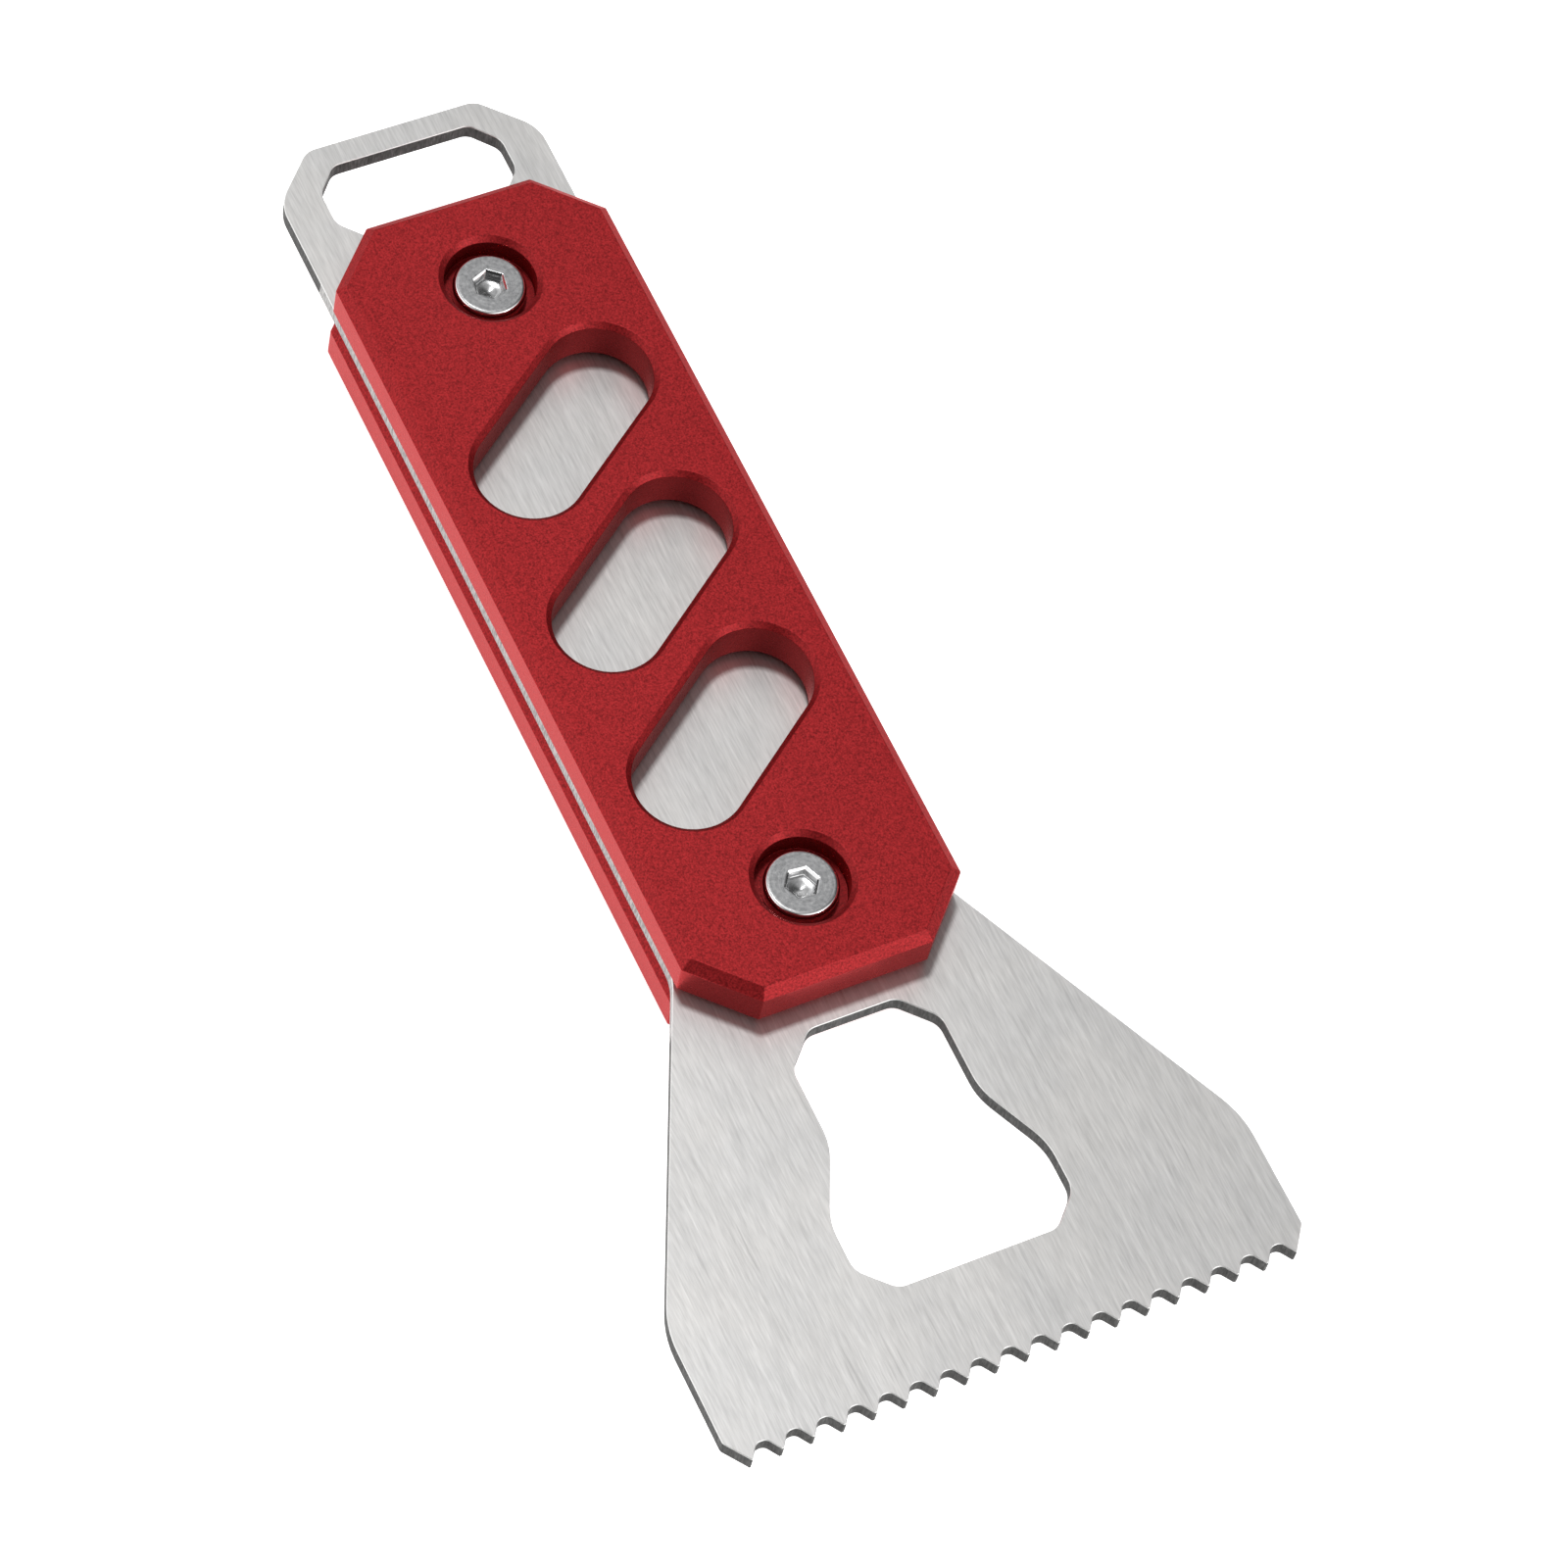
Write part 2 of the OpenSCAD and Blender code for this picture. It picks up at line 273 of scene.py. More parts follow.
def sweep(shell, ring_of, profile, slots=None, start=None):
    """Rings along a profile; ring_of(inset) gives (points, normals). A start ring that is
    already there stands for the first one. Returns the first and last ring."""
    previous = first = start
    for k, (inset, z, side, up) in enumerate(profile):
        if k == 0 and start is not None:
            continue
        points, normals = ring_of(inset)
        ring = shell.add(np.c_[points, np.full(len(points), z)],
                         np.c_[normals * side, np.full(len(normals), up)])
        if previous is None:
            first = ring
        else:
            shell.band(previous, ring, slots[k] if slots else 0)
        previous = ring
    return first, previous


# ---------------------------------------------------------------- node tools


class Nodes:
    """A short way to write a node tree. Most methods return an output socket."""

    def __init__(self, owner):
        owner.use_nodes = True
        self.tree = owner.node_tree
        self.tree.nodes.clear()

    def feed(self, socket, value):
        if isinstance(value, bpy.types.NodeSocket):
            self.tree.links.new(value, socket)
        else:
            socket.default_value = value

    def __call__(self, kind, inputs=None, **properties):
        node = self.tree.nodes.new(kind)
        for key, value in properties.items():
            setattr(node, key, value)
        for key, value in (inputs or {}).items():
            self.feed(node.inputs[key], value)
        return node

    def math(self, operation, *values, clamp=False):
        node = self("ShaderNodeMath", dict(enumerate(values)),
                    operation=operation, use_clamp=clamp)
        return node.outputs[0]

    def add(self, a, b, clamp=False):
        return self.math("ADD", a, b, clamp=clamp)

    def sub(self, a, b):
        return self.math("SUBTRACT", a, b)

    def mul(self, a, b):
        return self.math("MULTIPLY", a, b)

    def distance(self, a, b):
        return self.math("ABSOLUTE", self.sub(a, b))

    def linear(self, value, gain, offset):
        return self.add(self.mul(value, gain), offset)

    def weighted(self, *pairs, about=None):
        """Sum of value * share; about, if given, is first taken from each value."""
        total = None
        for value, share in pairs:
            if about is not None:
                value = self.sub(value, about)
            part = self.mul(value, share)
            total = part if total is None else self.add(total, part)
        return total

    def ramp(self, value, stops):
        """A colour ramp; stops are (position, grey or colour)."""
        node = self("ShaderNodeValToRGB")
        elements = node.color_ramp.elements
        while len(elements) < len(stops):
            elements.new(0.5)
        for element, (position, tone) in zip(elements, stops):
            element.position = position
            element.color = (*tone, 1) if isinstance(tone, tuple) else (tone, tone, tone, 1)
        self.feed(node.inputs[0], value)
        return node.outputs[0]

    def mix(self, share, first, second, mode="MIX"):
        node = self("ShaderNodeMix", data_type="RGBA", blend_type=mode)
        self.feed(node.inputs[0], share)
        for index, tone in ((6, first), (7, second)):
            self.feed(node.inputs[index], (*tone, 1) if isinstance(tone, tuple) else tone)
        return node.outputs[2]

    def position(self):
        return self("ShaderNodeTexCoord").outputs["Object"]

    def split(self, vector):
        return self("ShaderNodeSeparateXYZ", {"Vector": vector}).outputs

    def noise(self, vector, scale, detail, roughness=0.5, distortion=0.0,
              stretch=None, shift=(0.0, 0.0, 0.0)):
        """Noise; a stretch factor below 1 draws it out along that axis."""
        if stretch is not None:
            mapping = {"Vector": vector, "Scale": stretch, "Location": shift}
            vector = self("ShaderNodeMapping", mapping).outputs[0]
        return self("ShaderNodeTexNoise", {
            "Vector": vector, "Scale": scale, "Detail": detail,
            "Roughness": roughness, "Distortion": distortion}).outputs["Fac"]

    def by_slope(self, stops):
        """A ramp over how level the face is: 0 for an upright wall, 1 for a flat top."""
        normal = self.split(self("ShaderNodeNewGeometry").outputs["True Normal"])
        return self.ramp(self.math("ABSOLUTE", normal["Z"]), stops)

    def screw_distance(self, position):
        """Distance from the nearer screw axis, in metres."""
        nearest = None
        for y in SCREWS.values():
            dy = self.sub(position["Y"], y * MM)
            squares = self.add(self.mul(position["X"], position["X"]), self.mul(dy, dy))
            radius = self.math("SQRT", squares)
            nearest = radius if nearest is None else self.math("MINIMUM", nearest, radius)
        return nearest

    def bump(self, height, strength, distance):
        return self("ShaderNodeBump", {
            "Height": height, "Strength": strength, "Distance": distance}).outputs[0]

    def output(self, shader, kind="ShaderNodeOutputMaterial"):
        self(kind, {0: shader.outputs[0]})


def new_material(name):
    material = bpy.data.materials.new(name)
    return material, Nodes(material)


# ---------------------------------------------------------------- materials


def red_anodised(name):
    """Bead-blasted aluminium under red anodising: fine dimples and faint mottling. The upright
    walls are milled: smoother and a little paler. Shade is painted in darker along the seam with
    the blade and in the screw pockets."""
    base, dark = (0.366, 0.0180, 0.0210), (0.164, 0.0070, 0.0086)
    milled = (0.360, 0.0200, 0.0230)
    light = tuple(min(1.0, x * 1.34 + 0.004) for x in base)
    speck_share, cloud_share = 0.60, 0.16
    seam_shade_share, pocket_shade_share = 0.45, 0.45
    seam_range = 1.6                         # mm, full span of the seam shade ramp
    seam_full, seam_none = 0.10, 0.35        # mm beyond the blade's face
    pocket_radius, pocket_depth = 5.22, 0.72    # mm, where the painted pocket shade begins
    # how dark the painted shade is, as a share of the dark grain colour
    painted_shade_darkening = 0.45
    wall_smoothing = 0.18                    # roughness taken off the milled walls

    material, N = new_material(name)
    obj = N.position()
    grain = N.noise(obj, scale=4400.0, detail=2.0, roughness=0.7)
    dimple = N("ShaderNodeTexVoronoi", {"Vector": obj, "Scale": 5200.0, "Randomness": 1.0})
    mottle = N.noise(obj, scale=1500.0, detail=3.0, roughness=0.55)
    cloud = N.noise(obj, scale=45.0, detail=2.0)
    speck = N.noise(obj, scale=4600.0, detail=1.0)
    grains = N.ramp(grain, [(0.34, 0.0), (0.62, 1.0)])
    specks = N.ramp(speck, [(0.46, 0.0), (0.66, 1.0)])
    colour = N.mix(grains, dark, base)
    colour = N.mix(N.mul(specks, speck_share), colour, light)
    colour = N.mix(N.mul(cloud, cloud_share), colour, dark)
    wall = N.by_slope([(0.25, 1.0), (0.62, 0.0)])
    colour = N.mix(N.mul(wall, N.linear(grains, gain=0.22, offset=0.66)), colour, milled)

    # painted shade: darker along the seam with the blade and down in the screw pockets, where
    # shade falls
    position = N.split(obj)
    gap = N.distance(position["Z"], (Z_BLADE + Z_FRONT) / 2 * MM)
    seam_shade = N.ramp(N.math("DIVIDE", gap, seam_range * MM),
                  [((BLADE_T / 2 + seam_full) / seam_range, 1.0),
                   ((BLADE_T / 2 + seam_none) / seam_range, 0.0)])
    radius = N.screw_distance(position)
    from_middle = N.distance(position["Z"], Z_TOP / 2 * MM)
    # the mask of the painted shade in the screw pockets
    pocket = N.mul(N.math("LESS_THAN", radius, pocket_radius * MM),
                   N.math("LESS_THAN", from_middle, (Z_TOP / 2 - pocket_depth) * MM))
    painted_shade = N.math("MAXIMUM", N.mul(seam_shade, seam_shade_share), N.mul(pocket, pocket_shade_share))
    colour = N.mix(painted_shade, colour, tuple(x * painted_shade_darkening for x in dark))

    height = N.weighted((dimple.outputs["Distance"], 0.6), (grain, 0.7))
    bump = N.bump(height, strength=0.36, distance=0.00004)
    roughness = N.sub(N.linear(mottle, gain=0.10, offset=0.41), N.mul(wall, wall_smoothing))
    N.output(N("ShaderNodeBsdfPrincipled", {
        "Base Color": colour, "Metallic": 0.80, "Roughness": roughness, "Normal": bump,
        "Specular IOR Level": 0.35, "Specular Tint": (1.0, 0.42, 0.42, 1.0),
        "Coat Weight": N.linear(wall, gain=0.08, offset=0.12),
        "Coat Roughness": 0.34, "Coat IOR": 1.5}))
    return material


def brushed_steel(name):
    """Sheet ground along its length: long fine scratches, broader soft streaks and a few
    bright and dark lines."""
    bright_line, dark_line = 0.05, 0.07      # how far the lines shift the tone
    middle = 0.5                             # of a noise, and of the tone
    warm_tint, warm_share = (1.0, 0.988, 0.972), 0.5
    arris_highlight_colour, arris_highlight_share = (0.95, 0.95, 0.94), 0.55

    material, N = new_material(name)
    obj = N.position()

    def stretched(along, scale, detail, roughness, seed=0.0, distortion=0.0):
        return N.noise(obj, scale, detail, roughness, distortion,
                       stretch=(1.0, along, 1.0), shift=(seed, seed * 0.7, 0.0))

    fine = stretched(along=0.070, scale=5200.0, detail=2.0, roughness=0.6)
    hair = stretched(along=0.028, scale=2200.0, detail=3.0, roughness=0.62, seed=3.1)
    streak = stretched(along=0.028, scale=900.0, detail=3.0, roughness=0.6, seed=7.7)
    broad = stretched(along=0.16, scale=150.0, detail=3.0, roughness=0.55, seed=1.9,
                      distortion=0.2)
    blotch = N.noise(obj, scale=95.0, detail=4.0, roughness=0.6)
    tone = N.weighted((fine, 0.46), (hair, 0.26), (streak, 0.13), (broad, 0.12),
                      (blotch, 0.16), about=middle)
    bright_lines = N.ramp(hair, [(0.66, 0.0), (0.72, 1.0)])
    dark_lines = N.ramp(hair, [(0.28, 1.0), (0.34, 0.0)])
    tone = N.add(tone, N.mul(bright_lines, bright_line))
    tone = N.sub(tone, N.mul(dark_lines, dark_line))
    colour = N.ramp(N.add(tone, middle, clamp=True), [
        (0.0, (0.235, 0.233, 0.231)),
        (0.5, (0.535, 0.530, 0.524)),
        (1.0, (0.84, 0.832, 0.822))])
    warmth = N.mul(N.ramp(blotch, [(0.40, 0.0), (0.62, 1.0)]), warm_share)
    colour = N.mix(warmth, colour, N.mix(1.0, colour, warm_tint, "MULTIPLY"))
    # painted highlight: the chamfered arrises get a near-white colour that stands in for the
    # glint along them
    arris_highlight = N.by_slope([(0.80, 1.0), (0.95, 0.0)])
    colour = N.mix(N.mul(arris_highlight, arris_highlight_share), colour, arris_highlight_colour)
    roughness = N.linear(streak, gain=0.08, offset=0.385)
    height = N.weighted((fine, 0.5), (hair, 0.5))
    bump = N.bump(height, strength=0.12, distance=0.00004)
    tangent = N("ShaderNodeCombineXYZ", {"X": 1.0, "Y": 0.0, "Z": 0.0})
    N.output(N("ShaderNodeBsdfPrincipled", {
        "Base Color": colour, "Metallic": 0.95, "Roughness": roughness, "Anisotropic": 0.0,
        "Tangent": tangent.outputs[0], "Normal": bump}))
    return material


def cut_edge(name):
    """The cut wall of the sheet: fine upright striations. It is darker than the ground faces,
    partly as a rough cut finish and partly as painted shade on the cut walls.
    """
    held_highlight_x = 14.5                            # mm from the long axis, where the painted highlight on the held edges begins
    held_highlight_margin = 2.0                        # mm short of the handle's ends
    held_highlight_colour, held_highlight_metallic = (0.62, 0.615, 0.605), 0.6

    material, N = new_material(name)
    obj = N.position()
    striation = N.noise(obj, scale=5200.0, detail=2.0, roughness=0.6, stretch=(1.0, 1.0, 0.12))
    blotch = N.noise(obj, scale=900.0, detail=3.0, roughness=0.6)
    height = N.weighted((striation, 0.6), (blotch, 0.4))
    # partly painted shade: these greys are kept dark to stand in for the shade on the walls of
    # the holes and teeth
    colour = N.ramp(height, [
        (0.32, (0.030, 0.030, 0.029)),
        (0.52, (0.070, 0.069, 0.067)),
        (0.70, (0.135, 0.133, 0.130))])
    # painted highlight: the long edges held between the scales get a brighter, partly metallic
    # colour in streaks that stands in for their glint
    position = N.split(obj)
    along = N.distance(position["Y"], HANDLE_Y * MM)
    held_highlight = N.mul(N.math("GREATER_THAN", N.math("ABSOLUTE", position["X"]), held_highlight_x * MM),
                 N.math("LESS_THAN", along, (HALF_L - held_highlight_margin) * MM))
    highlight_streaks = N.ramp(striation, [(0.35, 0.0), (0.60, 1.0)])
    share = N.mul(held_highlight, N.linear(highlight_streaks, gain=0.45, offset=0.35))
    colour = N.mix(share, colour, held_highlight_colour)
    bump = N.bump(height, strength=0.35, distance=0.00005)
    N.output(N("ShaderNodeBsdfPrincipled", {
        "Base Color": colour, "Metallic": N.mul(held_highlight, held_highlight_metallic), "Roughness": 0.55,
        "Specular IOR Level": 0.12, "Normal": bump}))
    return material


def nickel(name):
    """Bright nickel plate. Flat faces keep faint turned rings round the screw's own axis;
    the rest is polished."""
    polished = (0.90, 0.90, 0.90)

    material, N = new_material(name)
    obj = N.position()
    radius = N.screw_distance(N.split(obj))
    flat = N.by_slope([(0.90, 0.0), (0.99, 1.0)])
    radial = N("ShaderNodeCombineXYZ", {"X": radius, "Y": 0.0, "Z": 0.0})
    rings = N.noise(radial.outputs[0], scale=9000.0, detail=2.0, roughness=0.7)
    pits = N.noise(obj, scale=2600.0, detail=3.0, roughness=0.6)
    turned = N.ramp(N.weighted((rings, 0.5), (pits, 0.5)), [
        (0.32, (0.17, 0.172, 0.176)),
        (0.50, (0.30, 0.302, 0.306)),
        (0.66, (0.46, 0.462, 0.466))])
    colour = N.mix(flat, polished, turned)
    roughness = N.linear(flat, gain=0.26, offset=0.08)
    height = N.weighted((rings, 0.6), (pits, 0.4))
    bump = N.bump(N.mul(height, flat), strength=0.25, distance=0.00003)
    N.output(N("ShaderNodeBsdfPrincipled", {
        "Base Color": colour, "Metallic": 1.0, "Roughness": roughness, "Normal": bump}))
    return material


RED = red_anodised("red_anodised")
STEEL = brushed_steel("blade_steel")
EDGE = cut_edge("blade_cut_edge")
NICKEL = nickel("plated_screw")

# ---------------------------------------------------------------- handle scales
CORNER = 6.4                                 # cut corners of a scale
CORNER_R = 0.3
OUTER, INNER = 1.1, 1.0                      # chamfers on the outer and the blade face
SLOT_W, SLOT_L, SLOT_ANGLE, SLOT_PITCH = 12.2, 27.0, 35.5, 20.4
SLOT_OUTER, SLOT_INNER = 0.6, 0.8            # chamfers of a slot
BORE_R, BORE_CHAMFER = 2.55, 0.1
POCKET_R, POCKET_DEPTH, POCKET_CHAMFER = 5.15, 3.0, 0.6
SCREW_SPACING = SCREWS["hang_end"] - SCREWS["blade_end"]


def screw_hole(shell, y):
    """A bore with a wide pocket in the outer face. Returns its bottom and top rings."""
    floor = SCALE_T - POCKET_DEPTH
    floor_start = 0.3                        # inset where the bore hands over to the pocket
    wall = POCKET_R - BORE_R

    def ring_of(inset):
        return round_hole(y, BORE_R + inset, 96)

    bore = rounded_profile(
        [(BORE_CHAMFER, 0), (0, BORE_CHAMFER), (0, floor - BORE_CHAMFER),
         (BORE_CHAMFER, floor), (floor_start, floor)],
        [0.04, 0.04, 0.04], steps=2)
    bottom, ledge = sweep(shell, ring_of, bore)
    pocket = rounded_profile(
        [(floor_start, floor), (wall - 0.02, floor), (wall, floor + 0.17),
         (wall, SCALE_T - POCKET_CHAMFER), (wall + POCKET_CHAMFER, SCALE_T),
         (wall + POCKET_CHAMFER + 0.2, SCALE_T)],
        [0.1, 0.1, 0.12, 0.1], steps=3)
    _, top = sweep(shell, ring_of, pocket, start=ledge)
    return bottom, top


def scale_shell():
    """One handle scale: blade face at z = 0, outer face at z = SCALE_T, centred on x = y = 0."""
    shell = Shell()
    x_cut, y_cut = HALF_W - CORNER, HALF_L - CORNER
    corners = [(x, y, CORNER_R) for x, y in (
        (x_cut, -HALF_L), (HALF_W, -y_cut), (HALF_W, y_cut), (x_cut, HALF_L),
        (-x_cut, HALF_L), (-HALF_W, y_cut), (-HALF_W, -y_cut), (-x_cut, -HALF_L))]
    side = chamfered_profile(SCALE_T, (INNER, INNER), (OUTER, OUTER),
                             lip=0.25, radii=(0.12, 0.16), steps=3)
    rings = [sweep(shell, lambda inset: ring_points(corners, inset, [4] * 8, keep_radius=True),
                   side)]
    side = chamfered_profile(SCALE_T, (SLOT_INNER, SLOT_INNER), (SLOT_OUTER, SLOT_OUTER),
                             lip=0.2, radii=(0.1, 0.12), steps=3)
    for place in (-1, 0, 1):
        rings.append(sweep(shell, lambda inset: slot_hole(
            place * SLOT_PITCH, SLOT_W / 2 + inset, (SLOT_L - SLOT_W) / 2, SLOT_ANGLE, 40), side))
    for end in (-1, 1):
        rings.append(screw_hole(shell, end * SCREW_SPACING / 2))
    shell.cap([bottom for bottom, top in rings], up=False)
    shell.cap([top for bottom, top in rings], up=True)
    return shell


front = scale_shell().move(HANDLE_Y, Z_FRONT).build("front_scale_shell", [RED])
rear = scale_shell().move(HANDLE_Y, 0).build("rear_scale_shell", [RED], turn_over_z=Z_BLADE)

# ---------------------------------------------------------------- blade
TANG_HALF_W = 15.75                          # the part between the scales
TEETH, PITCH, DEPTH = 18, 3.476, 1.5
GULLET_MOUTH, GULLET_BOTTOM = 3.216, 1.12    # widths of the gaps between the teeth
TIP_HALF_W = TEETH * PITCH / 2
HANDLE_FRONT_Y = HANDLE_Y - HALF_L           # the handle's end towards the teeth
EDGE_INSET, EDGE_HEIGHT = 0.08, 0.09         # broken edges of the plate

# Right halves, from +Y to -Y: x, y, corner radius
BLADE_HALF = [
    (TANG_HALF_W - 5.5, Y_END, 2.5), (TANG_HALF_W, Y_END - 5.6, 5.0),
    (TANG_HALF_W, HANDLE_FRONT_Y + 8.15, 6.0), (HEAD_HALF_W, Y_TIP + 16.2, 12.0),
    (HEAD_HALF_W, Y_TIP + 2.7, 0.8), (TIP_HALF_W, Y_TIP, 0.04)]
HANG_Y, HANG_HALF_W = Y_END - 2.85, 10.95    # the hole at the +Y end
HANG_HALF = [
    (HANG_HALF_W - 2.7, HANG_Y, 1.8), (HANG_HALF_W, HANG_Y - 3.0, 2.2),
    (HANG_HALF_W, HANG_Y - 7.2, 2.2), (HANG_HALF_W - 2.8, HANG_Y - 10.2, 1.8)]
OPENER_Y = HANDLE_FRONT_Y - 2.5              # the opener, a hole in the head
NECK_HALF_W, MOUTH_HALF_W, OPENER_L, MOUTH_CUT = 8.65, 12.6, 30.1, 3.45
OPENER_HALF = [
    (NECK_HALF_W - 3.6, OPENER_Y, 2.0), (NECK_HALF_W, OPENER_Y - 3.7, 2.4),
    (NECK_HALF_W, OPENER_Y - 12.8, 8.0), (MOUTH_HALF_W, OPENER_Y - 20.9, 8.0),
    (MOUTH_HALF_W, OPENER_Y - OPENER_L + MOUTH_CUT, 2.6),
    (MOUTH_HALF_W - MOUTH_CUT, OPENER_Y - OPENER_L, 2.2)]


def mirrored(half, between=()):
    """A closed clockwise ring from its right half."""
    return list(half) + list(between) + [(-x, y, r) for x, y, r in reversed(half)]


def gullets():
    """Corners of the gaps between the teeth, from +X to -X."""
    corners = []
    for k in range(TEETH - 1, -1, -1):
        x = (k - (TEETH - 1) / 2) * PITCH
        corners += [(x + GULLET_MOUTH / 2, Y_TIP, 0.03),
                    (x + GULLET_BOTTOM / 2, Y_TIP + DEPTH, 0.9),
                    (x - GULLET_BOTTOM / 2, Y_TIP + DEPTH, 0.9),
                    (x - GULLET_MOUTH / 2, Y_TIP, 0.03)]
    return corners


def blade_shell():
    """The plate, with its underside at z = 0."""
    shell = Shell()
    outline = mirrored(BLADE_HALF, gullets())[::-1]      # anticlockwise, solid on the left
    broken_edge = (EDGE_INSET, EDGE_HEIGHT)
    profile = chamfered_profile(BLADE_T, broken_edge, broken_edge,
                                lip=0.01, radii=(0.05, 0.06), steps=2)
    # a band takes the slot of the row it ends at: 1 on the wall, 0 on the chamfers, which carry
    # the steel's painted arris highlight
    margin = EDGE_HEIGHT * 0.95
    slots = [0]
    for row, following in zip(profile, profile[1:]):
        middle = (following[1] + row[1]) / 2
        slots.append(1 if margin < middle < BLADE_T - margin else 0)
    rings = []
    for corners in (outline, mirrored(HANG_HALF), mirrored(OPENER_HALF)):
        steps = corner_steps(corners)
        rings.append(sweep(shell, lambda inset: ring_points(corners, inset, steps),
                           profile, slots))
    for y in SCREWS.values():
        rings.append(sweep(shell, lambda inset: round_hole(y, BORE_R + inset, 72),
                           profile, slots))
    shell.cap([bottom for bottom, top in rings], up=False)
    shell.cap([top for bottom, top in rings], up=True)
    return shell


blade = blade_shell().move(0, Z_BLADE).build("blade_plate", [STEEL, EDGE])

# ---------------------------------------------------------------- screws and nuts
HEAD_R, HEAD_H, FLAT_R = 4.1, 1.9, 3.55
HEX_WIDTH, SOCKET_DEPTH = 3.0, 1.3           # hex socket, width across its flats
HEX_CHAMFER = 0.24
CONE_R = 1.26                                # drilled cone in the socket's floor
SEAT = 0.02                                  # gap under a head
FACETS = 120                 # a multiple of 6, so that each hex corner falls on a facet's edge
SHANK_R, THREAD_DEPTH, THREAD_PITCH, SHANK_L = 1.95, 0.3, 0.7, 5.8
BARREL_R, BARREL_BORE, BARREL_L = 2.5, 2.0, 7.0


def socket_rings(around, cone_depth):
    """(radius, z) from the socket's cone outwards to the flat top of the head."""
    from_flat = np.radians(np.degrees(around) % 60 - 30)
    hexagon = (HEX_WIDTH / 2) / np.cos(from_flat)
    rim = (HEX_WIDTH / 2 + HEX_CHAMFER) / np.cos(from_flat)
    floor = HEAD_H - SOCKET_DEPTH
    return [
        (0.25, floor - cone_depth + 0.04), (CONE_R * 0.6, floor - cone_depth * 0.42),
        (CONE_R, floor), (hexagon - 0.05, floor), (hexagon, floor + 0.05),
        (hexagon, HEAD_H - 0.26), (hexagon + 0.02, HEAD_H - 0.235),
        (rim - 0.02, HEAD_H - 0.01), (rim + 0.02, HEAD_H), (rim + 0.12, HEAD_H)]


def head_rings(seat_radius):
    """(radius, z) from the flat top over the head to its underside at seat_radius."""
    rings = [(FLAT_R - 0.12, HEAD_H)]
    for degrees in range(90, -1, -9):
        angle = math.radians(degrees)
        rings.append((FLAT_R + 0.55 * math.cos(angle), HEAD_H - 0.8 + 0.8 * math.sin(angle)))
    return rings + [(HEAD_R, 0.62), (HEAD_R, 0.16), (HEAD_R - 0.045, 0.05),
                    (HEAD_R - 0.16, 0.0), (seat_radius, 0.0)]


def thread_rings():
    """(radius, z) down a shank with a true helical thread, fading out at both ends."""
    neck = SHANK_R - 0.18
    root = SHANK_R - THREAD_DEPTH
    rings = [(neck, -0.12), (neck, -0.30)]
    turn = np.arange(FACETS) / FACETS
    z = -0.34
    while z > -SHANK_L + 0.42:
        phase = (z / THREAD_PITCH + turn) % 1.0
        wave = 1 - np.abs(2 * phase - 1)     # 0 at a root, 1 at a crest
        crest = np.clip((wave - 0.16) / 0.68, 0, 1)
        fade_in = min(1.0, (-0.30 - z) / 0.7)
        fade_out = min(1.0, (z + SHANK_L - 0.36) / 0.5)
        radius = root + THREAD_DEPTH * crest * fade_out
        rings.append((radius * fade_in + neck * (1 - fade_in), z))
        z -= THREAD_PITCH / 10
    return rings + [(root - 0.02, -SHANK_L + 0.36), (root - 0.10, -SHANK_L + 0.10),
                    (root - 0.22, -SHANK_L)]


# (radius, z) down the outside of a nut's barrel and back up its bore
BARREL_RINGS = [
    (BARREL_R, -0.12), (BARREL_R, -BARREL_L + 0.30), (BARREL_R - 0.06, -BARREL_L + 0.12),
    (BARREL_R - 0.22, -BARREL_L), (BARREL_BORE + 0.24, -BARREL_L),
    (BARREL_BORE + 0.02, -BARREL_L + 0.22), (BARREL_BORE, -BARREL_L + 0.30),
    (BARREL_BORE, -0.45), (BARREL_BORE - 0.1, -0.40)]


def turned_piece(name, turn, cone_depth, seat_radius, below, end_z, y, z, turned_over=False):
    """A head with a hex socket turned by so many degrees, and the rings that hang below it,
    closed at end_z. The underside of the head goes to z."""
    verts, faces = [], []
    around = np.arange(FACETS) * 2 * math.pi / FACETS
    angles = around + math.radians(turn)

    def add_ring(radius, height):
        start = len(verts)
        for angle, r in zip(angles, np.broadcast_to(radius, FACETS)):
            verts.append((r * math.cos(angle), r * math.sin(angle), height))
        return list(range(start, start + FACETS))

    def close(height, ring, up):
        centre = len(verts)
        verts.append((0.0, 0.0, height))
        for i in range(FACETS):
            j = (i + 1) % FACETS
            faces.append((centre, ring[i], ring[j]) if up else (centre, ring[j], ring[i]))

    profile = socket_rings(around, cone_depth) + head_rings(seat_radius) + below
    rings = [add_ring(*profile[0])]
    close(HEAD_H - SOCKET_DEPTH - cone_depth, rings[0], up=True)
    rings += [add_ring(*row) for row in profile[1:]]
    for ring, following in zip(rings, rings[1:]):
        for i in range(FACETS):
            j = (i + 1) % FACETS
            faces.append((ring[i], following[i], following[j], ring[j]))
    close(end_z, rings[-1], up=False)

    points = np.array(verts)
    if turned_over:
        points = points * [-1, 1, -1]
    points = points + [0, y, z]
    mesh = bpy.data.meshes.new(name)
    mesh.from_pydata([tuple(p * MM) for p in points], [], faces)
    mesh.materials.append(NICKEL)
    mesh.update()
    mesh.validate()
    mesh.polygons.foreach_set("use_smooth", [True] * len(mesh.polygons))
    mesh.set_sharp_from_angle(angle=math.radians(26))
    return link(name, mesh)


